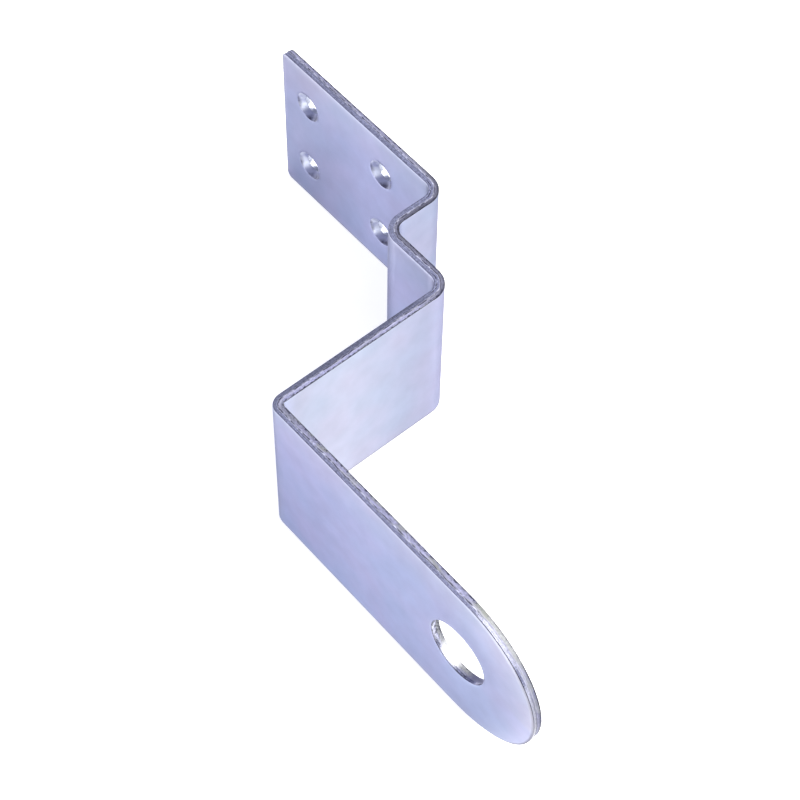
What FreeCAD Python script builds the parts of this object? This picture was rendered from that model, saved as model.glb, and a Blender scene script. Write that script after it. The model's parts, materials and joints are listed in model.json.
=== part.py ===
import FreeCAD, Part
import math
import os

# Antenna mounting bracket: one strip of zinc-plated sheet steel, folded square four times.
# The strip comes forward in two steps: mounting leg, first step, middle leg, second step and
# antenna leg. The mounting leg is screwed down through four countersunk holes, and the
# antenna's socket sits in the large hole at the round end of the antenna leg.
#
# X runs along the legs towards the antenna, -Y points forward, away from what carries the
# bracket, and Z runs across the strip. The origin is on the back of the mounting leg, midway
# between the four screw holes. All sizes are in millimetres.

# The strip
strip_width = 45.0
sheet_thickness = 2.5

# Legs are measured over the outside of their folds, steps from one face to the same face after it
mounting_leg_length = 57.0
first_step_height = 16.4
middle_leg_run = 20.9
second_step_height = 48.5
antenna_leg_length = 85.7

# Inner radii of the folds: three open ones, and a tight one at the foot of the antenna leg
open_fold_radius = 3.0
tight_fold_radius = 0.8

# Screw holes in the mounting leg, countersunk from the front
screw_hole_diameter = 4.8
countersink_diameter = 7.7
countersink_angle = 90.0
screw_end_margin = 9.2
screw_column_spacing = 27.0
screw_row_spacing = 21.5

# Hole for the antenna's socket
socket_hole_diameter = 16.5
socket_hole_from_tip = 23.5

# Edges: rounded corners at the free end, and the small bevel that blanking leaves round each side
free_corner_radius = 1.6
front_edge_bevel = 0.25
back_edge_bevel = 0.12

# Places along X and Y that follow from the sizes
half_width = strip_width / 2
free_end_x = -screw_end_margin - screw_column_spacing / 2
first_step_x = free_end_x + mounting_leg_length
second_step_x = first_step_x + middle_leg_run
tip_x = second_step_x - sheet_thickness + antenna_leg_length
middle_leg_y = -first_step_height
antenna_leg_y = middle_leg_y - second_step_height
socket_x = tip_x - socket_hole_from_tip

# How close two points must lie to count as one
same_place = 0.001


def point(x, y, z=0.0):
    return FreeCAD.Vector(x, y, z)


def rounded_path(corners, radii):
    # Straight runs joined by tangent arcs, with one radius for each inner corner
    edges = []
    start = corners[0]
    for before, corner, after, radius in zip(corners, corners[1:], corners[2:], radii):
        arriving = (corner - before).normalize()
        leaving = (after - corner).normalize()
        arc_start = corner - arriving * radius
        arc_end = corner + leaving * radius
        centre = arc_start + leaving * radius
        arc_middle = centre + (corner - centre).normalize() * radius
        edges.append(Part.LineSegment(start, arc_start).toShape())
        edges.append(Part.Arc(arc_start, arc_middle, arc_end).toShape())
        start = arc_end
    edges.append(Part.LineSegment(start, corners[-1]).toShape())
    return Part.Wire(edges)


def back_path():
    # The staircase seen from above, along the back of the sheet
    corners = [
        point(free_end_x, 0.0),
        point(first_step_x, 0.0),
        point(first_step_x, middle_leg_y),
        point(second_step_x, middle_leg_y),
        point(second_step_x, antenna_leg_y),
        point(tip_x, antenna_leg_y),
    ]
    outer_radius = open_fold_radius + sheet_thickness
    return rounded_path(corners, [outer_radius, open_fold_radius, outer_radius, tight_fold_radius])


def front_path():
    # The same staircase along the front of the sheet, one thickness away
    first_x = first_step_x - sheet_thickness
    second_x = second_step_x - sheet_thickness
    corners = [
        point(free_end_x, -sheet_thickness),
        point(first_x, -sheet_thickness),
        point(first_x, middle_leg_y - sheet_thickness),
        point(second_x, middle_leg_y - sheet_thickness),
        point(second_x, antenna_leg_y - sheet_thickness),
        point(tip_x, antenna_leg_y - sheet_thickness),
    ]
    outer_radius = open_fold_radius + sheet_thickness
    tight_outer_radius = tight_fold_radius + sheet_thickness
    return rounded_path(
        corners, [open_fold_radius, outer_radius, open_fold_radius, tight_outer_radius]
    )


def across_strip(path):
    # Draws a path or a section out over the whole width of the strip
    lowered = path.copy()
    lowered.translate(point(0.0, 0.0, -half_width))
    return lowered.extrude(point(0.0, 0.0, strip_width))


def folded_strip():
    back = back_path()
    front = front_path()
    back_ends = [vertex.Point for vertex in back.OrderedVertexes]
    front_ends = [vertex.Point for vertex in front.OrderedVertexes]
    cut_ends = [
        Part.LineSegment(back_ends[0], front_ends[0]).toShape(),
        Part.LineSegment(back_ends[-1], front_ends[-1]).toShape(),
    ]
    outline = Part.sortEdges(back.Edges + front.Edges + cut_ends)[0]
    return across_strip(Part.Face(Part.Wire(outline)))


def through_sheet(radius, x, back_y, z=0.0):
    # A cylinder as long as the sheet is thick, in the leg whose back lies at back_y
    front = point(x, back_y - sheet_thickness, z)
    return Part.makeCylinder(radius, sheet_thickness, front, point(0.0, 1.0))


def round_tip(strip):
    # The antenna leg ends in a half circle as wide as the strip
    centre_x = tip_x - half_width
    corner = point(centre_x, antenna_leg_y - sheet_thickness, -half_width)
    end_block = Part.makeBox(half_width, sheet_thickness, strip_width, corner)
    waste = end_block.cut(through_sheet(half_width, centre_x, antenna_leg_y))
    return strip.cut(waste)


def round_free_corners(strip):
    corner_edges = []
    for edge in strip.Edges:
        ends = [vertex.Point for vertex in edge.Vertexes]
        at_free_end = all(abs(end.x - free_end_x) < same_place for end in ends)
        if at_free_end and abs(edge.BoundBox.YLength - sheet_thickness) < same_place:
            corner_edges.append(edge)
    return strip.makeFillet(free_corner_radius, corner_edges)


def punch_socket_hole(strip):
    return strip.cut(through_sheet(socket_hole_diameter / 2, socket_x, antenna_leg_y))


def bevel_outline(strip, path, bevel):
    # Breaks the edges where the cut rim meets the side of the sheet that this path follows
    side = across_strip(path)

    def lies_on_side(face):
        middles = [edge.valueAt((edge.FirstParameter + edge.LastParameter) / 2) for edge in face.Edges]
        return all(side.distToShape(Part.Vertex(middle))[0] < same_place for middle in middles)

    outline = []
    for edge in strip.Edges:
        faces = strip.ancestorsOfType(edge, Part.Face)
        if len(faces) == 2 and len([face for face in faces if lies_on_side(face)]) == 1:
            outline.append(edge)
    return strip.makeChamfer(bevel, outline)


def drill_screw_holes(strip):
    # Each hole opens in a cone towards the front, for a countersunk screw's head
    hole_radius = screw_hole_diameter / 2
    head_radius = countersink_diameter / 2
    depth = (head_radius - hole_radius) / math.tan(math.radians(countersink_angle / 2))
    tools = []
    for column in (-1, 1):
        for row in (-1, 1):
            x = column * screw_column_spacing / 2
            z = row * screw_row_spacing / 2
            front = point(x, -sheet_thickness, z)
            tools.append(through_sheet(hole_radius, x, 0.0, z))
            tools.append(Part.makeCone(head_radius, hole_radius, depth, front, point(0.0, 1.0)))
    return strip.cut(tools)


def bracket():
    blank = punch_socket_hole(round_free_corners(round_tip(folded_strip())))
    broken = bevel_outline(blank, front_path(), front_edge_bevel)
    broken = bevel_outline(broken, back_path(), back_edge_bevel)
    return drill_screw_holes(broken).Solids[0]


os.makedirs("parts", exist_ok=True)
solid = bracket()
solid.exportStep("parts/bracket.step")
print("bracket", round(solid.Volume, 1), "cubic mm, valid:", solid.isValid())
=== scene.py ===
import json
import math

import bmesh
import bpy
from mathutils import Matrix, Vector, noise


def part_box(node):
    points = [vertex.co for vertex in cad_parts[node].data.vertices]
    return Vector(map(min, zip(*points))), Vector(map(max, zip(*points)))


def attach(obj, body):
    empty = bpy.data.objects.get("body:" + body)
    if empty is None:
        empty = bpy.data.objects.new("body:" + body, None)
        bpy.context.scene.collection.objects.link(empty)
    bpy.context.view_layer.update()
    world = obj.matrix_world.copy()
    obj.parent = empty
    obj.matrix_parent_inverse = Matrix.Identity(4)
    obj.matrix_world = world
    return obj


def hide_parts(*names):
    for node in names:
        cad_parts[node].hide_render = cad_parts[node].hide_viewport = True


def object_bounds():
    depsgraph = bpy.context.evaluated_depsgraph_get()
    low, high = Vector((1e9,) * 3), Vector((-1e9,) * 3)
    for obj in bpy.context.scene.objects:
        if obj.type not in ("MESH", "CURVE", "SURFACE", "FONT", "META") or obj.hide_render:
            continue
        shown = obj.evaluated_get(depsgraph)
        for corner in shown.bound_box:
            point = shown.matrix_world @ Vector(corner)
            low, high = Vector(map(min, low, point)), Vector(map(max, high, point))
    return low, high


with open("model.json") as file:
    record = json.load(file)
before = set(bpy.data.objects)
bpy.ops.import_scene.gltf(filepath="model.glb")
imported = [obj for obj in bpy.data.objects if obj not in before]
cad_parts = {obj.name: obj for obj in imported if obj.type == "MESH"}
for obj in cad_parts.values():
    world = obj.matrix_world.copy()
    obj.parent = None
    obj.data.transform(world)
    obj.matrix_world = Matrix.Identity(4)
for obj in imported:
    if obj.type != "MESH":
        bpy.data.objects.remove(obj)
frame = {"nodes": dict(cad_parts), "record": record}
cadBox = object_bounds()
print("frame loaded:", ", ".join(frame["nodes"]))

# The strip is modelled in millimetres, flat as it was blanked, then folded and brought to metres.
# Flat, it lies along X from the free end, with its back at y = 0 and its front towards -Y.
mm = 0.001
cadLow, cadHigh = [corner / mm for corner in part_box("bracket")]
mounts = {mount["name"]: mount for mount in frame["record"]["mounts"]}

strip = {
    "thickness": 2.5,
    "mountingLeg": 57.0,  # over the outside of its fold, as the middle leg
    "firstStep": 16.4,
    "middleLeg": 20.9,
    "openFold": 3.0,  # inside radius of the first three folds
    "tightFold": 0.8,  # inside radius at the foot of the antenna leg
    "freeCorner": 1.6,
    "countersink": 3.85,  # radius at the front
    "foldSteps": 24,
    "edgeStep": 0.4,  # spacing of the points along a cut edge
    "cornerSteps": 12,
    "holeSteps": 96,
    "samePoint": 0.01,  # corners closer than this count as one
    "cutMargin": 0.002,  # a cut goes through any corner closer than this
    "holeMargin": 0.1,  # how far past a countersink's mouth its own wall is looked for
    "flatNormal": 0.9995,  # a face turned this squarely to the front or the back is flat
    "wallNormal": 0.1,  # and one turned less than this stands upright in the cut
    "edgeNormal": 0.6,  # one turned less than this has the cut edge's finish, roundings included
    "sinkMargin": 0.02,  # the countersinks' finish reaches this far past their mouths
    "socketMargin": 1.0,  # and the socket hole's wall is looked for this far round the hole
    "smoothAngle": 35,  # edges sharper than this many degrees stay sharp
}


def middlePath():
    # Corners of the strip's middle plane seen from above, from the free end to the tip
    half = strip["thickness"] / 2
    firstX = cadLow.x + strip["mountingLeg"] - half
    secondX = firstX + strip["middleLeg"]
    middleY = -strip["firstStep"] - half
    antennaY = cadLow.y + half
    places = [(cadLow.x, -half), (firstX, -half), (firstX, middleY),
              (secondX, middleY), (secondX, antennaY), (cadHigh.x, antennaY)]
    return [Vector(place) for place in places]


def planFolds():
    # Where each fold starts on the flat blank, its middle radius and the side it turns to
    corners = middlePath()
    half = strip["thickness"] / 2
    radii = [strip["openFold"] + half] * 3 + [strip["tightFold"] + half]
    plan = []
    place = cadLow.x
    used = 0.0
    for number, radius in enumerate(radii):
        place += (corners[number + 1] - corners[number]).length - used - radius
        side = -1 if number % 2 == 0 else 1
        plan.append({"start": place, "radius": radius, "side": side, "arc": radius * math.pi / 2})
        place += plan[-1]["arc"]
        used = radius
    return plan, place + (corners[-1] - corners[-2]).length - used


folds, flatTip = planFolds()
halfWidth = cadHigh.z
frontY = -strip["thickness"]
tipCentre = flatTip - halfWidth
screws = mounts["mounting_screws"]["dims"]
screwCentres = [Vector((column * screws["spacing_x_mm"] / 2, 0, row * screws["spacing_y_mm"] / 2))
                for column in (-1, 1) for row in (-1, 1)]
socketCentre = Vector((flatTip - cadHigh.x + mounts["socket_hole"]["pos_m"][0] / mm, 0, 0))
socketRadius = mounts["socket_hole"]["dims"]["r_mm"]
print("flat blank", round(flatTip - cadLow.x, 1), "mm long")


def draw(bm, start, steps, move=(0, 0, 0), centre=(0, 0, 0), angle=0.0):
    # Carries a corner of the outline along a straight run or an arc
    made = bmesh.ops.spin(bm, geom=[start], cent=centre, axis=(0, 1, 0), angle=angle,
                          dvec=Vector(move) / steps, steps=steps, use_duplicate=False)
    return [item for item in made["geom_last"] if isinstance(item, bmesh.types.BMVert)][0]


def sideRuns():
    # The straight runs of a long side, cut finer where the folds will be
    stops = [cadLow.x + strip["freeCorner"]]
    for fold in folds:
        stops += [fold["start"], fold["start"] + fold["arc"]]
    stops.append(tipCentre)
    runs = []
    for number, (before, after) in enumerate(zip(stops, stops[1:])):
        inFold = number % 2 == 1
        steps = strip["foldSteps"] if inFold else round((after - before) / strip["edgeStep"])
        runs.append((after - before, steps))
    return runs


def drawOutline(bm):
    # The blank's outline: the free end with its corners, one long side, the tip, the other side
    corner = strip["freeCorner"]
    inner = halfWidth - corner
    quarter = math.pi / 2
    vert = bm.verts.new((cadLow.x, 0, -inner))
    vert = draw(bm, vert, round(2 * inner / strip["edgeStep"]), move=(0, 0, 2 * inner))
    vert = draw(bm, vert, strip["cornerSteps"], centre=(cadLow.x + corner, 0, inner), angle=quarter)
    for length, steps in sideRuns():
        vert = draw(bm, vert, steps, move=(length, 0, 0))
    vert = draw(bm, vert, round(math.pi * halfWidth / strip["edgeStep"]),
                centre=(tipCentre, 0, 0), angle=math.pi)
    for length, steps in reversed(sideRuns()):
        vert = draw(bm, vert, steps, move=(-length, 0, 0))
    draw(bm, vert, strip["cornerSteps"], centre=(cadLow.x + corner, 0, -inner), angle=quarter)
    bmesh.ops.remove_doubles(bm, verts=bm.verts[:], dist=strip["samePoint"])


def once(parts):
    # Each part once, always in the same order
    return list(dict.fromkeys(parts))


def drawHole(bm, centre, radius):
    place = Matrix.Translation(centre) @ Matrix.Rotation(math.pi / 2, 4, "X")
    made = bmesh.ops.create_circle(bm, cap_ends=False, segments=strip["holeSteps"],
                                   radius=radius, matrix=place)
    return once(edge for vert in made["verts"] for edge in vert.link_edges)


def fillBlank(bm):
    # One face, cut across at each step of the folds, then two legs filled again round their holes
    margin = strip["edgeStep"]
    bmesh.ops.contextual_create(bm, geom=bm.edges[:])
    for fold in folds:
        steps = [fold["arc"] * step / strip["foldSteps"] for step in range(strip["foldSteps"] + 1)]
        for travel in [-margin] + steps + [fold["arc"] + margin]:
            bmesh.ops.bisect_plane(bm, geom=bm.verts[:] + bm.edges[:] + bm.faces[:],
                                   dist=strip["cutMargin"], plane_no=(1, 0, 0),
                                   plane_co=(fold["start"] + travel, 0, 0))
    inOrder = sorted(bm.faces, key=lambda face: face.calc_center_median().x)
    screwHoles = [(centre, strip["countersink"]) for centre in screwCentres]
    for leg, holes in ((inOrder[0], screwHoles), (inOrder[-1], [(socketCentre, socketRadius)])):
        border = list(leg.edges)
        bmesh.ops.delete(bm, geom=[leg], context="FACES_ONLY")
        for centre, radius in holes:
            border += drawHole(bm, centre, radius)
        bmesh.ops.triangle_fill(bm, use_beauty=True, edges=border, normal=(0, -1, 0))


def thicken(bm):
    # Draws the blank out from its back to its front
    made = bmesh.ops.extrude_face_region(bm, geom=bm.faces[:])
    front = [item for item in made["geom"] if isinstance(item, bmesh.types.BMVert)]
    bmesh.ops.translate(bm, verts=front, vec=(0, frontY, 0))
    bmesh.ops.recalc_face_normals(bm, faces=bm.faces[:])


def distanceToScrew(place):
    return min(math.hypot(place.x - centre.x, place.z - centre.z) for centre in screwCentres)


def nearScrew(place, margin):
    return distanceToScrew(place) < strip["countersink"] + margin


def isFlat(face):
    return abs(face.normal.y) > strip["flatNormal"]


def cutWalls(bm, walls, depth):
    # Cuts these faces across, parallel to the front of the sheet and this deep behind it
    geom = once(part for face in walls for part in [face, *face.edges, *face.verts])
    bmesh.ops.bisect_plane(bm, geom=geom, dist=strip["cutMargin"],
                           plane_co=(0, frontY + depth, 0), plane_no=(0, 1, 0))


def sinkScrewHoles(bm):
    # Each hole keeps its full width at the front and closes at 45 degrees to the drilled size
    holeRadius = screws["hole_r_mm"]
    depth = strip["countersink"] - holeRadius
    share = holeRadius / strip["countersink"]
    reach = strip["countersink"] + strip["holeMargin"]
    behind = frontY + depth - strip["samePoint"]
    walls = [face for face in bm.faces
             if not isFlat(face) and distanceToScrew(face.calc_center_median()) < reach]
    cutWalls(bm, walls, depth)
    for centre in screwCentres:
        ring = [vert for vert in bm.verts if vert.co.y > behind
                and math.hypot(vert.co.x - centre.x, vert.co.z - centre.z) < reach]
        bmesh.ops.scale(bm, vec=(share, 1, share), verts=ring, space=Matrix.Translation(-centre))
    bm.normal_update()


rim = {
    "frontRound": (0.12, 5),  # width of a rounding and its number of facets
    "backRound": (0.1, 2),
    "sinkRound": (0.2, 4),  # at the mouths of the countersinks
    "drillRound": (0.07, 2),
    "frontRings": (0.2, 0.25, 0.35, 0.4),  # widths of the rings beside the front edge
    "sink": (0.08, 0.045, 0.018, 0.004, 0.0),  # how deep the edge and each ring were drawn in
    "sinkReach": 0.7,  # the cut wall is squeezed down to this depth by that
    "brighten": (1.0, 0.75, 0.4, 0.15, 0.0),  # painted highlight along the rounded front edge: how much paler the film is painted there
    "clearOfScrews": 2.0,  # rings nearer to a countersink than this stay as they are
    "tipSink": 2.5,  # how many times deeper the front edge is drawn in round the tip
    "tipSinkLead": 4.0,  # that starts this long before the centre of the round end
    "tipSinkRun": 14.0,  # and grows over this length
    "backRings": (0.15, 0.2),
    # depths behind the front at which the walls are cut across
    "levels": (0.2, 0.32, 0.44, 0.58, 0.72, 0.86, 0.98, 1.06, 1.14, 1.22, 1.32, 1.46, 1.64,
               1.82, 1.97, 2.09, 2.21, 2.31),
    "leastOutward": 0.05,  # corners that look outwards less than this lie on a flat side
    "breakDepth": 1.14,  # where the smooth sheared band ends and the torn one begins
    "breakRun": 0.16,  # the step between them takes this depth
    "breakWave": 0.12,
    "breakWaves": ((0.16, 1.0, 3), (0.9, 0.4, 5)),  # waves to the millimetre, share and noise layer
    "breakShift": 0.36,  # how much further back the break lies before the last fold
    "breakShiftLag": 4.0,  # it has come forward this long after that fold starts
    "breakShiftRun": 14.0,
    "tornStep": 0.025,
    "tornTaper": 0.045,
    "tornRough": 0.03,
    "shearRough": 0.006,
    "roughShares": (0.8, 0.8, 0.5),  # even, fine and coarse part of that roughness
    "fineGrain": (1.3, 2.2),  # bumps to the millimetre along the edge and through the sheet
    "coarseGrain": (0.45, 7),  # bumps to the millimetre and shift of the noise
    "sideReach": 1.0,  # only the long sides are worked by the folding
    "foldReach": 1.2,  # and this far past each fold
    "foldDraw": 0.1,  # how far the outside of a fold is drawn in
    "foldGroove": 0.07,
    "groovePlace": 0.24,  # from the inside of the fold, in shares of the thickness
    "grooveWidth": 0.07,
    "foldRough": 0.02,
    "foldGrain": (3, 4),
}


def rimEdges(bm, side):
    # Edges between a flat side and the cut wall: side is -1 for the front and 1 for the back
    outline, drilled = [], []
    for edge in bm.edges:
        flats = [face for face in edge.link_faces if isFlat(face)]
        if len(edge.link_faces) == 2 and len(flats) == 1 and flats[0].normal.y * side > 0:
            near = nearScrew((edge.verts[0].co + edge.verts[1].co) / 2, strip["holeMargin"])
            (drilled if near else outline).append(edge)
    return outline, drilled


def roundRims(bm):
    # Rounds the edges of the outline and of the holes, on both sides of the sheet
    for side, names in ((-1, ("frontRound", "sinkRound")), (1, ("backRound", "drillRound"))):
        for edges, name in zip(rimEdges(bm, side), names):
            width, facets = rim[name]
            bmesh.ops.bevel(bm, geom=edges, offset=width, segments=facets, profile=0.5,
                            affect="EDGES", material=-1)
        bm.normal_update()


def ringFaces(bm, side, widths):
    # Rings of faces inside the edges of one flat side; returns the corners of each ring
    region = [face for face in bm.faces if isFlat(face) and face.normal.y * side > 0]
    rings = []
    for width in widths + (None,):
        inside = set(region)
        border = {vert for face in region for edge in face.edges for vert in edge.verts
                  if sum(other in inside for other in edge.link_faces) == 1}
        rings.append(border)
        if width:
            bmesh.ops.inset_region(bm, faces=region, thickness=width, use_even_offset=True)
    return rings


def cutLevels(bm):
    # Cuts the walls across at many depths, so that the sheared edge can be shaped
    for depth in rim["levels"]:
        walls = [face for face in bm.faces if abs(face.normal.y) < strip["wallNormal"]
                 and not nearScrew(face.calc_center_median(), strip["holeMargin"])]
        cutWalls(bm, walls, depth)


def ease(share):
    # A soft start and a soft end between 0 and 1
    share = max(0.0, min(1.0, share))
    return share * share * (3 - 2 * share)


def foldNearness(x):
    # The fold beside this place on the flat blank, and how much it works the metal there
    for fold in folds:
        half = fold["arc"] / 2
        away = abs(x - fold["start"] - half)
        reach = half + rim["foldReach"]
        if away < reach:
            return fold, 0.5 + 0.5 * math.cos(math.pi * away / reach)
    return None, 0.0


def rimInset(place, depth):
    # How far the cut wall stands back from the nominal outline
    below = max(0.0, depth - rim["breakDepth"])
    torn = min(1.0, below / rim["breakRun"])
    inset = torn * rim["tornStep"] + below * rim["tornTaper"]
    along, across = rim["fineGrain"]
    fine = noise.noise(Vector((place.x * along, depth * across, place.z * along)))
    along, shift = rim["coarseGrain"]
    coarse = noise.noise(Vector((place.x * along + shift, depth, place.z * along)))
    rough = rim["shearRough"] + (rim["tornRough"] - rim["shearRough"]) * torn
    evenShare, fineShare, coarseShare = rim["roughShares"]
    inset += rough * (evenShare + fineShare * fine + coarseShare * coarse)
    fold, share = foldNearness(place.x)
    if fold and abs(place.z) > halfWidth - rim["sideReach"]:
        fromFront = depth / strip["thickness"]
        outer = fromFront if fold["side"] < 0 else 1 - fromFront
        groove = math.exp(-((outer - rim["groovePlace"]) / rim["grooveWidth"]) ** 2)
        inset += share * (rim["foldDraw"] * outer ** 2 + rim["foldGroove"] * groove)
        along, across = rim["foldGrain"]
        crease = noise.noise(Vector((place.x * along, depth * across, place.z)))
        inset += share * rim["foldRough"] * crease
    return max(0.0, inset)


def sinkShare(x):
    # The punch draws the front edge in more round the tip
    share = ease((x - tipCentre + rim["tipSinkLead"]) / rim["tipSinkRun"])
    return 1 + (rim["tipSink"] - 1) * share


def breakMove(place, depth):
    # Carries the line between the two bands back before the last fold, and lets it wander
    share = ease((folds[3]["start"] + rim["breakShiftLag"] - place.x) / rim["breakShiftRun"])
    wave = 0.0
    for pitch, part, layer in rim["breakWaves"]:
        wave += part * noise.noise(Vector((place.x * pitch, layer, place.z * pitch)))
    near = max(0.0, 1 - abs(depth - rim["breakDepth"]))
    return near * (rim["breakShift"] * share + rim["breakWave"] * wave)


def shapeRims(bm, rings):
    # Works the sheared edge: a drawn-in front edge, a smooth band, a step and a torn band
    bm.normal_update()
    depthLayer = bm.verts.layers.float["sheetDepth"]
    runLayer = bm.verts.layers.float["stripRun"]
    moves = []
    for vert in bm.verts:
        depth = vert.co.y - frontY
        vert[depthLayer] = depth / strip["thickness"]
        vert[runLayer] = vert.co.x - cadLow.x
        outward = Vector((vert.normal.x, 0, vert.normal.z))
        if outward.length < rim["leastOutward"] or nearScrew(vert.co, rim["sinkRound"][0]):
            continue
        outward.normalize()
        move = -outward * rimInset(vert.co, depth)
        if depth < rim["sinkReach"]:
            move.y += sinkShare(vert.co.x) * rim["sink"][0] * (1 - depth / rim["sinkReach"])
        move.y += breakMove(vert.co, depth)
        moves.append((vert, move))
    for vert, move in moves:
        vert.co += move
    # how much painted highlight each ring beside the front edge gets
    paintedHighlightLayer = bm.verts.layers.float["edgeShare"]
    for number, ring in enumerate(rings):
        for vert in ring:
            if not nearScrew(vert.co, rim["clearOfScrews"]):
                vert[paintedHighlightLayer] = rim["brighten"][number]
                if number:
                    vert.co.y += sinkShare(vert.co.x) * rim["sink"][number]


def foldStrip(bm):
    # Rolls everything past the start of each fold round its centre, from the last fold to the first
    flat = [(vert, vert.co.x) for vert in bm.verts]
    middleY = frontY / 2
    for fold in reversed(folds):
        centre = Vector((fold["start"], middleY + fold["side"] * fold["radius"], 0))
        for vert, x in flat:
            travel = min(x - fold["start"], fold["arc"])
            if travel > 0:
                vert.co.x -= travel
                turn = Matrix.Rotation(fold["side"] * travel / fold["radius"], 3, "Z")
                vert.co = centre + turn @ (vert.co - centre)


def markFinishes(bm):
    # 0 the plated faces, 1 the cut edge, 2 the drilled and countersunk holes, 3 the socket hole
    for face in bm.faces:
        middle = face.calc_center_median()
        if nearScrew(middle, strip["sinkMargin"]) and not isFlat(face):
            face.material_index = 2
        elif abs(face.normal.y) < strip["edgeNormal"]:
            fromSocket = math.hypot(middle.x - socketCentre.x, middle.z)
            face.material_index = 3 if fromSocket < socketRadius + strip["socketMargin"] else 1


def buildBracket():
    bm = bmesh.new()
    bm.verts.layers.float.new("sheetDepth")
    bm.verts.layers.float.new("stripRun")
    bm.verts.layers.float.new("edgeShare")
    drawOutline(bm)
    fillBlank(bm)
    thicken(bm)
    sinkScrewHoles(bm)
    roundRims(bm)
    rings = ringFaces(bm, -1, rim["frontRings"])
    ringFaces(bm, 1, rim["backRings"])
    cutLevels(bm)
    markFinishes(bm)
    shapeRims(bm, rings)
    foldStrip(bm)
    bmesh.ops.scale(bm, vec=(mm, mm, mm), verts=bm.verts[:])
    bm.normal_update()
    for face in bm.faces:
        face.smooth = True
    for edge in bm.edges:
        edge.smooth = edge.calc_face_angle(0) < math.radians(strip["smoothAngle"])
    openEdges = sum(not edge.is_manifold for edge in bm.edges)
    mesh = bpy.data.meshes.new("zincBracket")
    bm.to_mesh(mesh)
    bm.free()
    piece = bpy.data.objects.new("folded_bracket", mesh)
    bpy.context.scene.collection.objects.link(piece)
    triangles = sum(len(polygon.vertices) - 2 for polygon in mesh.polygons)
    print("bracket:", triangles, "triangles,", openEdges, "open edges")
    return piece


def newMaterial(name):
    material = bpy.data.materials.new(name)
    material.use_nodes = True
    tree = material.node_tree
    shader = tree.nodes["Principled BSDF"]
    return material, tree, shader


def addNode(tree, kind, inputs=None, **settings):
    # Adds one node; an input given as a socket is linked, any other value is set
    made = tree.nodes.new(kind)
    for name, value in settings.items():
        setattr(made, name, value)
    for name, value in (inputs or {}).items():
        if isinstance(value, bpy.types.NodeSocket):
            tree.links.new(value, made.inputs[name])
        else:
            made.inputs[name].default_value = value
    return made


def maths(tree, operation, *values):
    return addNode(tree, "ShaderNodeMath", dict(enumerate(values)), operation=operation).outputs[0]


def times(tree, *values):
    # All of these multiplied together
    product = values[0]
    for value in values[1:]:
        product = maths(tree, "MULTIPLY", product, value)
    return product


def spread(tree, value, low, high, fromLow=0.3, fromHigh=0.7):
    # Carries the range between the last two numbers over to the range from low to high
    made = addNode(tree, "ShaderNodeMapRange",
                   {"Value": value, "From Min": fromLow, "From Max": fromHigh,
                    "To Min": low, "To Max": high})
    return made.outputs["Result"]


def nearTo(tree, value, place, reach, share=1.0):
    # The full share about this place, falling to nothing between the two distances of the reach
    away = maths(tree, "ABSOLUTE", maths(tree, "SUBTRACT", value, place))
    return spread(tree, away, share, 0, *reach)


def between(tree, value, places, share=1.0):
    # Rises to the share between the first two places and falls again between the last two
    starts, full, fades, ends = places
    return times(tree, spread(tree, value, 0, share, starts, full),
                 spread(tree, value, 1, 0, fades, ends))


def blend(tree, share, first, second, kind="MIX"):
    made = addNode(tree, "ShaderNodeMix", data_type="RGBA", blend_type=kind)
    for name, value in (("Factor", share), ("A", first), ("B", second)):
        socket = [item for item in made.inputs if item.name == name and item.enabled][0]
        if isinstance(value, bpy.types.NodeSocket):
            tree.links.new(value, socket)
        else:
            socket.default_value = value
    return [item for item in made.outputs if item.enabled][0]


def shaded(tree, colour, value, share=1.0):
    # The colour made darker or lighter by this value
    grey = addNode(tree, "ShaderNodeCombineColor", {"Red": value, "Green": value, "Blue": value})
    return blend(tree, share, colour, grey.outputs["Color"], "MULTIPLY")


def ramp(tree, value, stops):
    made = addNode(tree, "ShaderNodeValToRGB", {"Fac": value})
    elements = made.color_ramp.elements
    while len(elements) < len(stops):
        elements.new(0.5)
    for element, (place, colour) in zip(elements, stops):
        element.position = place
        element.color = colour
    return made.outputs["Color"]


def bump(tree, height, distance, strength=1.0, normal=None):
    inputs = {"Height": height, "Distance": distance, "Strength": strength}
    if normal:
        inputs["Normal"] = normal
    return addNode(tree, "ShaderNodeBump", inputs).outputs["Normal"]


def ownValue(tree, name):
    return addNode(tree, "ShaderNodeAttribute", attribute_name=name).outputs["Fac"]


def objectPlace(tree, scale=(1, 1, 1)):
    coordinates = addNode(tree, "ShaderNodeTexCoord")
    mapping = addNode(tree, "ShaderNodeMapping", {"Vector": coordinates.outputs["Object"]})
    mapping.inputs["Scale"].default_value = scale
    return mapping.outputs["Vector"]


def objectHeight(tree):
    return addNode(tree, "ShaderNodeSeparateXYZ", {"Vector": objectPlace(tree)}).outputs["Z"]


def noiseNode(tree, place, scale, detail, roughness=0.5):
    made = addNode(tree, "ShaderNodeTexNoise",
                   {"Vector": place, "Scale": scale, "Detail": detail, "Roughness": roughness})
    return made.outputs["Fac"]


def cloud(tree, scale, detail, stretch=(1, 1, 1)):
    # Noise on the whole piece: how fine it is to the metre, and how much detail it has
    return noiseNode(tree, objectPlace(tree, stretch), scale, detail)


def rimCloud(tree, along, across, detail, roughness=0.5):
    # Noise that follows the cut edge: how many to the millimetre along it and through the sheet
    run = ownValue(tree, "stripRun")
    depth = ownValue(tree, "sheetDepth")
    parts = {"X": times(tree, run, along),
             "Y": times(tree, depth, across * strip["thickness"]),
             "Z": times(tree, objectHeight(tree), along / mm)}
    place = addNode(tree, "ShaderNodeCombineXYZ", parts).outputs["Vector"]
    return noiseNode(tree, place, 1.0, detail, roughness)


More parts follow.
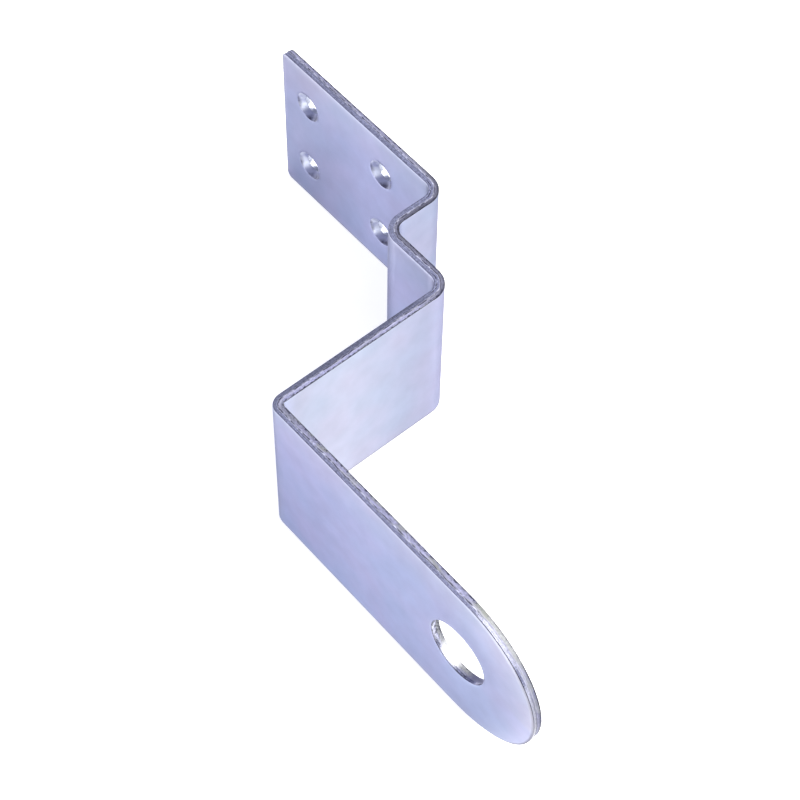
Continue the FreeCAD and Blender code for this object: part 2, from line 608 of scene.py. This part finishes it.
def pastTip(tree):
    # Millimetres past the centre of the round end, and 0 on the straight part of the strip
    past = maths(tree, "SUBTRACT", ownValue(tree, "stripRun"), tipCentre - cadLow.x)
    return maths(tree, "MAXIMUM", past, 0)


def fromOutline(tree):
    # Millimetres in from the long sides and from the round end
    parts = {"X": pastTip(tree), "Y": maths(tree, "DIVIDE", objectHeight(tree), mm)}
    place = addNode(tree, "ShaderNodeCombineXYZ", parts).outputs["Vector"]
    away = addNode(tree, "ShaderNodeVectorMath", {0: place}, operation="LENGTH").outputs["Value"]
    return maths(tree, "SUBTRACT", halfWidth, away)


# Places along the strip are millimetres from the free end, and clouds give their fineness and detail
zinc = {
    "blue": (0.435, 0.480, 0.689, 1),
    "lilac": (0.469, 0.477, 0.686, 1),
    "driftCloud": (70, 2.0),  # the drift from blue to lilac
    "driftRange": (0.35, 0.65),
    "filmCloud": (210, 3.0),  # a finer drift in shade
    "filmShades": (0.95, 1.04),
    # painted shade of the film along the strip, standing in for how the light falls on each leg and
    # step, and how much of its blue it keeps there
    "tone": ((0, 0.72, 1.0), (12, 0.79, 0.98), (32, 1.03, 0.98), (51, 0.94, 0.97), (58, 0.74, 0.91),
             (65, 0.74, 0.91), (74, 1.07, 0.97), (85, 1.0, 0.97), (94, 0.78, 0.90),
             (118, 0.99, 0.83), (131, 0.92, 0.83), (139, 1.05, 0.98), (165, 1.20, 0.94),
             (190, 1.17, 0.93), (219, 1.18, 0.90)),
    "farSide": (0.80, 0.80, 0.77, 1),  # painted shade on the far side of the antenna leg, where the key lamp would blow it out
    "farSidePlaces": (136, 139),
    "midSheet": (0.4, 0.6),  # where the front side gives way to the far one, through the sheet
    # pale film colour, also used for the painted highlights beside the edges
    "edge": (0.67, 0.70, 0.83, 1),
    "paleBand": (3.0, 0.3),  # width of the paler film beside the front edge, which also paints the highlight of its rounding, and its share
    "tipBand": (9.0, 0.34),  # and of the one on the antenna leg
    "tipPlaces": (165, 212),
    "bandCloud": (0.5, 0.5, 3.0),
    "bandLeast": 0.3,  # what the bands keep where they are weakest
    "warm": (1.04, 1.02, 0.95, 1),
    "warmBand": 12.0,  # the film is less blue over this width below the upper edge
    "upperPlaces": (-2, 0),  # millimetres up from the strip's middle, where its upper half begins
    "litShare": 0.7,  # how bright the painted highlight on the front edge's own rings is, along the upper edge
    "litAtTip": 0.1,
    "litPlaces": (15, 20),  # millimetres past the round end's centre, as the places of the painted shade at the tip
    # dark colour of the painted shade by the lower edge, the free end, the tip and the fold crests
    "dull": (0.20, 0.20, 0.23, 1),
    "dullShare": 0.75,
    "dullWidth": (0.25, 0.65),  # the painted shade by the lower edge fades between these insets
    "dullTip": 0.8,
    "dullTipPlaces": (13, 18),
    "dullEnd": (0.15, 0.45),
    "foldCrests": (54.8, 88.6),  # fold crests turning out of sight, given a painted shade
    "crestReach": (0.2, 1.3),
    "crestShare": 0.4,
    "edgeTint": (0.45, 0.45, 0.5, 1),  # darker where a surface turns out of sight
    "roughCloud": (120, 3.0),
    "roughness": (0.30, 0.40),
    "grain": ((1.0, 3.0, (60, 60, 2600)), 0.000004),  # cloud and height in metres, as the next two
    "speckle": ((2600, 2.0), 0.000006),
    "waves": ((45, 1.0), 0.0002),
    "waveStrength": 0.5,
}


def filmColour(tree, run, depth):
    # A thin bluish film: soft drifts of blue and lilac, with a painted shade along the strip for how
    # the light falls on each leg and step
    drift = spread(tree, cloud(tree, *zinc["driftCloud"]), 0, 1, *zinc["driftRange"])
    colour = blend(tree, drift, zinc["blue"], zinc["lilac"])
    length = flatTip - cadLow.x
    # painted shade along the strip, leg by leg and step by step
    stops = [(place / length, (shade, shade, shade * blue, 1)) for place, shade, blue in zinc["tone"]]
    tone = ramp(tree, maths(tree, "DIVIDE", run, length), stops)
    # painted shade on the far side of the antenna leg
    behind = times(tree, spread(tree, depth, 0, 1, *zinc["midSheet"]),
                   spread(tree, run, 0, 1, *zinc["farSidePlaces"]))
    tone = blend(tree, behind, tone, zinc["farSide"])
    colour = blend(tree, 1.0, colour, tone, "MULTIPLY")
    return shaded(tree, colour, spread(tree, cloud(tree, *zinc["filmCloud"]), *zinc["filmShades"]))


def paintedHighlightBands(tree, colour, run, front, inset, upper):
    # Paler film beside the front edge and on the antenna leg, which also paints the highlights of
    # their roundings, warmer near the top, and a painted highlight on the front edge's rings along
    # the upper edge
    uneven = spread(tree, rimCloud(tree, *zinc["bandCloud"]), zinc["bandLeast"], 1)
    onTip = spread(tree, run, 0, 1, *zinc["tipPlaces"])
    for name, where in (("paleBand", front), ("tipBand", onTip)):
        width, share = zinc[name]
        band = maths(tree, "POWER", spread(tree, inset, 1, 0, 0, width), 2)
        colour = blend(tree, times(tree, band, where, uneven, share), colour, zinc["edge"])
    warm = times(tree, spread(tree, inset, 1, 0, 0, zinc["warmBand"]), upper, front)
    colour = blend(tree, warm, colour, zinc["warm"], "MULTIPLY")
    # painted highlight on the front edge's own rings, only along the upper edge
    fades = spread(tree, pastTip(tree), 1, zinc["litAtTip"], *zinc["litPlaces"])
    paintedEdgeLight = times(tree, ownValue(tree, "edgeShare"), upper, zinc["litShare"], fades)
    return blend(tree, paintedEdgeLight, colour, zinc["edge"])


def paintedShadeLines(tree, run, depth, inset, upper):
    # Painted shade along the lower edge, the free edge and the tip, and on the fold crests where they
    # turn out of sight
    onTip = spread(tree, pastTip(tree), 0, zinc["dullTip"], *zinc["dullTipPlaces"])
    sides = maths(tree, "MAXIMUM", maths(tree, "SUBTRACT", 1, upper), onTip)
    share = times(tree, spread(tree, inset, 1, 0, *zinc["dullWidth"]), sides)
    share = maths(tree, "MAXIMUM", share, spread(tree, run, 1, 0, *zinc["dullEnd"]))
    outside = spread(tree, depth, 0, zinc["crestShare"], *zinc["midSheet"])
    for crest in zinc["foldCrests"]:
        stretched = times(tree, nearTo(tree, run, crest, zinc["crestReach"]), outside)
        share = maths(tree, "MAXIMUM", share, stretched)
    return times(tree, share, zinc["dullShare"])


def zincFace():
    # Bright zinc: the film with its paler places, painted highlights and painted shade, a faint
    # rolling grain and soft waves
    material, tree, shader = newMaterial("zincFace")
    run = ownValue(tree, "stripRun")
    depth = ownValue(tree, "sheetDepth")
    front = maths(tree, "SUBTRACT", 1, depth)
    inset = fromOutline(tree)
    starts, full = zinc["upperPlaces"]
    upper = spread(tree, objectHeight(tree), 0, 1, starts * mm, full * mm)
    colour = filmColour(tree, run, depth)
    colour = paintedHighlightBands(tree, colour, run, front, inset, upper)
    # painted shade along the lower and free edges, round the tip and on the fold crests
    colour = blend(tree, paintedShadeLines(tree, run, depth, inset, upper), colour, zinc["dull"])
    tree.links.new(colour, shader.inputs["Base Color"])
    shader.inputs["Metallic"].default_value = 1.0
    shader.inputs["Specular Tint"].default_value = zinc["edgeTint"]
    roughness = spread(tree, cloud(tree, *zinc["roughCloud"]), *zinc["roughness"])
    tree.links.new(roughness, shader.inputs["Roughness"])
    relief = None
    for name, strength in (("grain", 1.0), ("speckle", 1.0), ("waves", zinc["waveStrength"])):
        settings, height = zinc[name]
        relief = bump(tree, cloud(tree, *settings), height, strength, normal=relief)
    tree.links.new(relief, shader.inputs["Normal"])
    return material


# Places across the cut edge are shares of the thickness from the front, along it millimetres
sheared = {
    "roll": (0.55, 0.57, 0.72, 1),
    "frontLine": (0.30, 0.31, 0.42, 1),
    "smoothBand": (0.66, 0.68, 0.83, 1),
    "tornFront": (0.50, 0.51, 0.71, 1),
    "tornBack": (0.44, 0.45, 0.61, 1),
    "backLine": (0.13, 0.135, 0.165, 1),
    "breakLine": (0.06, 0.06, 0.11, 1),
    "streak": (0.70, 0.70, 0.86, 1),
    "grey": (0.38, 0.40, 0.37, 1),
    # near-black, for the painted dark hairline by the front, the tip's outline and the socket's
    # blotches
    "stain": (0.05, 0.05, 0.07, 1),
    "pale": (0.56, 0.58, 0.565, 1),  # the torn band of the socket hole and the start of the round end
    "bands": ((0.0, "roll"), (0.02, "roll"), (0.05, "frontLine"), (0.09, "smoothBand"),
              (0.45, "smoothBand"), (0.50, "tornFront"), (0.78, "tornFront"), (0.89, "tornBack"),
              (0.95, "backLine")),
    "tornPlaces": (0.45, 0.50),
    "wander": 0.035,  # how far the bands wander up and down
    "wanderCloud": (0.9, 1.0, 3.0),  # fineness along and across, detail, and roughness where given
    "tipPlaces": (2, 6),  # the round end's own look sets in here past its centre
    # painted shade of the smooth and the torn band along the strip, darkest where the lamps catch the
    # steps and folds
    "tone": ((0, 0.85, 0.80), (46, 0.90, 0.72), (52, 0.93, 0.36), (60, 0.92, 0.30), (66, 0.98, 0.42),
             (86, 1.0, 0.48), (90, 0.90, 0.38), (96, 0.64, 0.95), (131, 0.58, 1.0), (138, 0.9, 0.80),
             (160, 0.95, 0.85), (219, 0.95, 0.9)),
    # painted shade of both bands round the tip, by how far past its centre they lie
    "tipTone": ((0.0, 1.0, 1.0), (3.825, 0.84, 0.95), (14.4, 0.84, 0.90), (17.55, 1.0, 0.85),
                (19.35, 0.72, 0.74), (20.925, 0.46, 0.56), (22.5, 0.40, 0.50)),
    "palePlaces": (1, 4, 14, 18),  # past the round end's centre
    "paleShare": 0.85,
    "paleBand": (0.5, 0.6, 0.90, 0.95),
    "mottleCloud": (1.7, 2.4, 3.0, 0.65),
    "mottle": (0.66, 1.28),
    "streakCloud": (0.12, 4.0, 2.0),
    "streaks": (0.80, 1.16),
    "tipClean": 0.3,  # how much of that mottle and those streaks the round end lacks
    "patchCloud": (0.2, 0.5, 2.0),
    "patchRange": (0.50, 0.62),
    "patchShare": 0.85,
    "patchPlaces": (138, 150),  # the grey patches grow along the strip between these
    "patchLeast": 0.3,
    # broken lines along the edge: place and width across, and how fine the breaks are along it
    "darkLine": (0.46, 0.07, 0.45),
    "lightLine": (0.60, 0.065, 0.15),
    "lightShare": 0.6,
    "foldDarkLine": (0.20, 0.06, 0.6),
    "foldLightLine": (0.30, 0.06, 0.6),
    "lineCloud": (0.2, 3.0, 0.6),
    "lineRange": (0.42, 0.54),
    "lineShare": 0.95,
    "lineCore": 0.35,  # the full line takes this part of its width
    "foldReach": (2.5, 4.5),
    "foldShare": 0.8,
    "tipLines": 0.85,  # how much of the dark lines the round end lacks
    "speckCloud": (1.5, 2.4, 2.0),
    "speckRange": (0.50, 0.58),
    "speckShare": 0.9,
    "speckPlace": 0.87,
    "speckReach": (0.04, 0.10),
    "hairline": (0.055, (0.035, 0.08), 0.95),  # place, reach and share of the painted dark line by the front
    "tipOutline": (0.95, (0.05, 0.11), 0.9),  # and of the one by the back, at the tip
    "tipOutlinePlaces": (14.5, 17.5),
    "roughness": (0.22, 0.7),  # of the smooth and the torn band
    "roughPlaces": (0.35, 0.43),
    "wornCloud": (1.2, 1.5, 2.0),
    "worn": (-0.05, 0.06),
    "gritCloud": (2.6, 3.0, 3.0),
    "gritHeight": 0.00006,
    "streakHeight": 0.00004,
    "bumpStrength": 0.4,
}


def bandShades(tree, run, past, torn):
    # Painted shade of each band: along the strip, and round its tip
    levels = []
    for value, name, reach in ((run, "tone", flatTip - cadLow.x), (past, "tipTone", halfWidth)):
        stops = [(place / reach, (smooth, rough, 0, 1)) for place, smooth, rough in sheared[name]]
        shades = ramp(tree, maths(tree, "DIVIDE", value, reach), stops)
        both = addNode(tree, "ShaderNodeSeparateColor", {"Color": shades}).outputs
        apart = maths(tree, "SUBTRACT", both["Green"], both["Red"])
        levels.append(maths(tree, "ADD", both["Red"], times(tree, apart, torn)))
    return times(tree, *levels)


def edgePlaces(tree):
    # What the parts of the cut edge's finish go by, such as the place along and across the edge
    run = ownValue(tree, "stripRun")
    depth = ownValue(tree, "sheetDepth")
    past = pastTip(tree)
    wander = sheared["wander"]
    wavy = spread(tree, rimCloud(tree, *sheared["wanderCloud"]), -wander, wander)
    across = maths(tree, "ADD", depth, wavy)
    torn = spread(tree, across, 0, 1, *sheared["tornPlaces"])
    onTip = spread(tree, past, 0, 1, *sheared["tipPlaces"])
    return {
        "run": run, "depth": depth, "past": past, "across": across, "torn": torn, "onTip": onTip,
        "lines": maths(tree, "SUBTRACT", 1, times(tree, onTip, sheared["tipLines"])),
        "shades": bandShades(tree, run, past, torn),
        "streaks": spread(tree, rimCloud(tree, *sheared["streakCloud"]), *sheared["streaks"]),
    }


def bandColour(tree, at, leastPale):
    # The smooth and the torn band with their shades, mottle, streaks and grey patches
    colour = ramp(tree, at["across"], [(place, sheared[name]) for place, name in sheared["bands"]])
    pale = between(tree, at["past"], sheared["palePlaces"], sheared["paleShare"])
    pale = maths(tree, "MAXIMUM", pale, leastPale)
    pale = times(tree, pale, between(tree, at["across"], sheared["paleBand"]))
    colour = blend(tree, pale, colour, sheared["pale"])
    colour = shaded(tree, colour, at["shades"])
    marked = maths(tree, "SUBTRACT", 1, times(tree, at["onTip"], sheared["tipClean"]))
    mottle = spread(tree, rimCloud(tree, *sheared["mottleCloud"]), *sheared["mottle"])
    for marks in (mottle, at["streaks"]):
        colour = shaded(tree, colour, marks, marked)
    patches = spread(tree, rimCloud(tree, *sheared["patchCloud"]), 0, sheared["patchShare"],
                     *sheared["patchRange"])
    grows = spread(tree, at["run"], sheared["patchLeast"], 1, *sheared["patchPlaces"])
    return blend(tree, times(tree, patches, grows, at["torn"], at["shades"]), colour, sheared["grey"])


def rimLine(tree, across, place, width, along):
    # A broken line along the cut edge: its share at each point
    line = nearTo(tree, across, place, (width * sheared["lineCore"], width))
    breaks = rimCloud(tree, along, *sheared["lineCloud"])
    return times(tree, line, spread(tree, breaks, 0, sheared["lineShare"], *sheared["lineRange"]))


def squeezed(tree, run):
    # The folds that turn inwards at the front, where the folding squeezed the edge
    share = 0.0
    for fold in (folds[0], folds[2]):
        middle = fold["start"] + fold["arc"] / 2 - cadLow.x
        inFold = nearTo(tree, run, middle, sheared["foldReach"], sheared["foldShare"])
        share = maths(tree, "MAXIMUM", inFold, share)
    return share


def breakLines(tree, at, colour):
    # The broken dark line with its light streak between the bands, and the lines in the folds
    dark = times(tree, rimLine(tree, at["across"], *sheared["darkLine"]), at["lines"])
    colour = blend(tree, dark, colour, sheared["breakLine"])
    light = rimLine(tree, at["across"], *sheared["lightLine"])
    light = times(tree, light, sheared["lightShare"], at["shades"])
    colour = blend(tree, light, colour, sheared["streak"])
    inFolds = squeezed(tree, at["run"])
    for name, kind in (("foldDarkLine", "breakLine"), ("foldLightLine", "streak")):
        share = times(tree, rimLine(tree, at["across"], *sheared[name]), inFolds)
        colour = blend(tree, share, colour, sheared[kind])
    return colour


def darkOutlines(tree, at, colour, leastHairline):
    # Specks near the back, a hairline of painted shade by the front and, at the tip, a dark outline
    # by the back
    specks = spread(tree, rimCloud(tree, *sheared["speckCloud"]), 0, sheared["speckShare"],
                    *sheared["speckRange"])
    inLine = nearTo(tree, at["across"], sheared["speckPlace"], sheared["speckReach"])
    colour = blend(tree, times(tree, specks, inLine, at["lines"]), colour, sheared["breakLine"])
    hairline = times(tree, nearTo(tree, at["depth"], *sheared["hairline"]),
                     maths(tree, "MAXIMUM", at["onTip"], leastHairline))
    outline = times(tree, nearTo(tree, at["depth"], *sheared["tipOutline"]),
                    spread(tree, at["past"], 0, 1, *sheared["tipOutlinePlaces"]))
    for share in (hairline, outline):
        colour = blend(tree, share, colour, sheared["stain"])
    return colour


socketWall = {
    "leastPale": 0.8,  # the whole torn band is pale here, and the hairline shows all round
    "leastHairline": 0.56,
    # a painted highlight where the wall mirrors the lamps, and painted slate shade further round
    "bare": (0.90, 0.91, 0.92, 1),
    "barePlaces": (1.5, 3.5, 7.0, 8.5),  # millimetres from the hole's side towards the mounting leg
    "bareBand": (0.12, 0.2),
    "bareShare": 0.9,
    "slate": (0.20, 0.20, 0.32, 1),
    "slatePlaces": (10.0, 12.0),
    "slateShare": 0.85,
    "blotchCloud": (0.9, 1.4, 3.0, 0.7),
    "blotchLeast": 0.25,
    "blotchRange": (0.44, 0.56),
    "blotchPlaces": (0.5, 2.8),  # the blotches fade between these, with a second group further on
    "blotchShare": 0.75,
    "secondBlotch": (9.5, (1.0, 2.2), 0.6),  # place, reach and share
    "secondBand": (0.4, 0.7),
}


def socketMarks(tree, at, colour):
    # The socket hole's wall: a painted highlight, then painted slate shade, and dark blotches at two
    # places
    holeStart = socketCentre.x - cadLow.x - socketRadius
    fromStart = maths(tree, "SUBTRACT", at["run"], holeStart)
    bare = times(tree, between(tree, fromStart, socketWall["barePlaces"], socketWall["bareShare"]),
                 spread(tree, at["across"], 0, 1, *socketWall["bareBand"]))
    colour = blend(tree, bare, colour, socketWall["bare"])
    slate = spread(tree, fromStart, 0, socketWall["slateShare"], *socketWall["slatePlaces"])
    colour = blend(tree, slate, colour, socketWall["slate"])
    blotches = spread(tree, rimCloud(tree, *socketWall["blotchCloud"]), socketWall["blotchLeast"], 1,
                      *socketWall["blotchRange"])
    first = spread(tree, fromStart, socketWall["blotchShare"], 0, *socketWall["blotchPlaces"])
    second = times(tree, nearTo(tree, fromStart, *socketWall["secondBlotch"]),
                   spread(tree, at["across"], 1, 0, *socketWall["secondBand"]))
    share = times(tree, blotches, maths(tree, "MAXIMUM", first, second))
    return blend(tree, share, colour, sheared["stain"])


def cutEdge(name, inSocket):
    # The cut edge of the strip, or the wall of the socket hole, which has no line between its bands
    material, tree, shader = newMaterial(name)
    at = edgePlaces(tree)
    if inSocket:
        colour = bandColour(tree, at, socketWall["leastPale"])
        colour = darkOutlines(tree, at, colour, socketWall["leastHairline"])
        colour = socketMarks(tree, at, colour)
    else:
        colour = breakLines(tree, at, bandColour(tree, at, 0))
        colour = darkOutlines(tree, at, colour, 0)
    tree.links.new(colour, shader.inputs["Base Color"])
    shader.inputs["Metallic"].default_value = 1.0
    roughness = spread(tree, at["across"], *sheared["roughness"], *sheared["roughPlaces"])
    worn = spread(tree, rimCloud(tree, *sheared["wornCloud"]), *sheared["worn"])
    tree.links.new(maths(tree, "ADD", roughness, worn), shader.inputs["Roughness"])
    grit = bump(tree, rimCloud(tree, *sheared["gritCloud"]), sheared["gritHeight"],
                sheared["bumpStrength"])
    relief = bump(tree, at["streaks"], sheared["streakHeight"], sheared["bumpStrength"], normal=grit)
    tree.links.new(relief, shader.inputs["Normal"])
    return material


drilled = {
    # bright metal, also the colour of the painted highlight
    "bright": (0.64, 0.67, 0.77, 1),
    "film": (0.36, 0.38, 0.55, 1),
    "shade": (0.09, 0.09, 0.14, 1),
    "bore": (0.36, 0.39, 0.48, 1),
    "boreShare": 0.75,
    "boreBlur": 0.15,
    "filmCloud": (420, 3.0),
    "filmShare": 0.9,
    "filmRange": (0.4, 0.6),
    "brightWay": (0.50, -0.866),  # along the strip and up it, towards the painted highlight
    "brightPlaces": (-0.35, 0.0, 0.3, 0.5),  # that way, in shares of the countersink's radius
    "filmBeyond": 0.8,
    # painted shade in dark arcs beside the mouth: which way, from where to where out to the mouth,
    # and how dark
    "arcs": (((0.50, -0.866), 0.66, 0.86, 0.95), ((-0.966, -0.259), 0.80, 0.94, 0.85)),
    "arcCloud": (600, 3.0),
    "arcLeast": 0.45,
    "arcRange": (0.38, 0.55),
    "roughCloud": (500, 2.0),
    "roughness": (0.34, 0.48),
    "ringPitch": 0.12,  # millimetres between the tool's rings
    "ringHeight": 0.000004,
    "ringStrength": 0.5,
}


def fromScrewCentre(tree):
    # Millimetres along the strip and up it from the middle of the nearest screw hole
    place = addNode(tree, "ShaderNodeSeparateXYZ", {"Vector": objectPlace(tree)})
    apart = []
    for axis, centre in (("X", screwCentres[-1].x), ("Z", screwCentres[-1].z)):
        inMm = maths(tree, "DIVIDE", place.outputs[axis], mm)
        nearest = times(tree, maths(tree, "SIGN", inMm), centre)
        apart.append(maths(tree, "SUBTRACT", inMm, nearest))
    return apart


def towards(tree, apart, way):
    # How far out this way, as a share of the countersink's radius
    parts = [times(tree, side, part / strip["countersink"]) for side, part in zip(apart, way)]
    return maths(tree, "ADD", *parts)


def drilledWall():
    # Countersinks and drilled holes, turned bright, with a painted highlight on one side, painted
    # shade in dark arcs by the mouth, and fine rings left by the tool
    material, tree, shader = newMaterial("drilledWall")
    apart = fromScrewCentre(tree)
    squares = [maths(tree, "POWER", maths(tree, "ABSOLUTE", side), 2) for side in apart]
    radius = maths(tree, "SQRT", maths(tree, "ADD", *squares))
    uneven = spread(tree, cloud(tree, *drilled["filmCloud"]), 0, drilled["filmShare"],
                    *drilled["filmRange"])
    colour = blend(tree, uneven, drilled["film"], drilled["bright"])
    # painted highlight on one side of each countersink
    out = towards(tree, apart, drilled["brightWay"])
    bright = between(tree, out, drilled["brightPlaces"])
    colour = blend(tree, bright, colour, drilled["bright"])
    beyond = spread(tree, out, 0, drilled["filmBeyond"], *drilled["brightPlaces"][2:])
    colour = blend(tree, beyond, colour, drilled["film"])
    uneven = spread(tree, cloud(tree, *drilled["arcCloud"]), drilled["arcLeast"], 1,
                    *drilled["arcRange"])
    # painted shade: dark arcs beside the mouth
    for way, near, far, share in drilled["arcs"]:
        dark = spread(tree, towards(tree, apart, way), 0, share, near, far)
        colour = blend(tree, times(tree, dark, uneven), colour, drilled["shade"])
    mouth = screws["hole_r_mm"]
    inBore = spread(tree, radius, drilled["boreShare"], 0, mouth, mouth + drilled["boreBlur"])
    colour = blend(tree, inBore, colour, drilled["bore"])
    tree.links.new(colour, shader.inputs["Base Color"])
    shader.inputs["Metallic"].default_value = 1.0
    roughness = spread(tree, cloud(tree, *drilled["roughCloud"]), *drilled["roughness"])
    tree.links.new(roughness, shader.inputs["Roughness"])
    rings = maths(tree, "SINE", times(tree, radius, 2 * math.pi / drilled["ringPitch"]))
    relief = bump(tree, rings, drilled["ringHeight"], drilled["ringStrength"])
    tree.links.new(relief, shader.inputs["Normal"])
    return material


piece = buildBracket()
finishes = [zincFace(), cutEdge("cutEdge", inSocket=False), drilledWall(),
            cutEdge("socketWall", inSocket=True)]
for finish in finishes:
    piece.data.materials.append(finish)
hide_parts("bracket")
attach(piece, "root")
print("materials made:", ", ".join(finish.name for finish in finishes))

studio = {
    "world": (0.42, 0.43, 0.56, 1),
    "floorSize": 3.0,
    "floorCells": 8,
    "floorTint": (0.94, 0.94, 0.945, 1),
    "floorRoughness": 0.9,
    "floorGlow": (0.74, 0.2),  # the floor is a light table, so no shadow on it turns grey
    "floorFade": (0.2, 0.6),  # its glow falls off between these distances from the origin
    "lights": {  # direction from the bracket, distance, size, power and tint
        "sideLight": ((0.50, 0.37, 0.77), 0.7, (0.7, 0.7), 1.9, (1.0, 0.98, 0.95)),
        "keyLight": ((0.26, 0.82, 0.52), 0.8, (0.6, 0.6), 8.4, (1.0, 0.96, 0.83)),
        "lowLight": ((0.50, -0.86, 0.02), 0.6, (0.5, 0.1), 0.7, (0.94, 0.96, 1.0)),
    },
}


def softbox(name, direction, distance, size, power, tint):
    # An area light facing the bracket from this direction
    light = bpy.data.lights.new(name, "AREA")
    light.shape = "RECTANGLE"
    light.size, light.size_y = size
    light.energy = power
    light.color = tint
    lamp = bpy.data.objects.new(name, light)
    target = (cadBox[0] + cadBox[1]) / 2
    toLight = Vector(direction).normalized()
    lamp.location = target + toLight * distance
    lamp.rotation_mode = "QUATERNION"
    lamp.rotation_quaternion = toLight.to_track_quat("Z", "Y")
    bpy.context.scene.collection.objects.link(lamp)


def paleFloor():
    material, tree, shader = newMaterial("paleFloor")
    shader.inputs["Base Color"].default_value = studio["floorTint"]
    shader.inputs["Roughness"].default_value = studio["floorRoughness"]
    shader.inputs["Emission Color"].default_value = studio["floorTint"]
    away = addNode(tree, "ShaderNodeVectorMath", {0: objectPlace(tree)}, operation="LENGTH")
    glow = spread(tree, away.outputs["Value"], *studio["floorGlow"], *studio["floorFade"])
    tree.links.new(glow, shader.inputs["Emission Strength"])
    return material


def buildStudio():
    bm = bmesh.new()
    bmesh.ops.create_grid(bm, x_segments=studio["floorCells"], y_segments=studio["floorCells"],
                          size=studio["floorSize"] / 2)
    bmesh.ops.translate(bm, verts=bm.verts[:], vec=(0, 0, cadBox[0].z))
    mesh = bpy.data.meshes.new("floor")
    bm.to_mesh(mesh)
    bm.free()
    floor = bpy.data.objects.new("floor", mesh)
    bpy.context.scene.collection.objects.link(floor)
    mesh.materials.append(paleFloor())
    world = bpy.data.worlds.new("studio")
    world.use_nodes = True
    background = world.node_tree.nodes["Background"]
    background.inputs["Color"].default_value = studio["world"]
    bpy.context.scene.world = world
    for name, settings in studio["lights"].items():
        softbox(name, *settings)
    bpy.context.scene.view_settings.view_transform = "Standard"


camera = {
    "aim": (58.65, -34.93, -0.83),  # millimetres, as the distance
    "azimuth": 48.642,  # degrees, as the elevation and the roll
    "elevation": 56.026,
    "distance": 508.53,
    "roll": 1.131,
    "lens": 102.32,
    "sensor": 36.0,
    "clip": (0.01, 20.0),
}


def buildCamera():
    data = bpy.data.cameras.new("camera")
    data.lens = camera["lens"]
    data.sensor_width = camera["sensor"]
    data.clip_start, data.clip_end = camera["clip"]
    eye = bpy.data.objects.new("camera", data)
    turn, rise = math.radians(camera["azimuth"]), math.radians(camera["elevation"])
    level = math.cos(rise)
    back = Vector((math.sin(turn) * level, -math.cos(turn) * level, math.sin(rise)))
    eye.location = (Vector(camera["aim"]) + back * camera["distance"]) * mm
    eye.rotation_mode = "QUATERNION"
    roll = Matrix.Rotation(math.radians(camera["roll"]), 3, "Z").to_quaternion()
    eye.rotation_quaternion = back.to_track_quat("Z", "Y") @ roll
    bpy.context.scene.collection.objects.link(eye)
    bpy.context.scene.camera = eye


buildStudio()
buildCamera()
print("studio and camera ready")
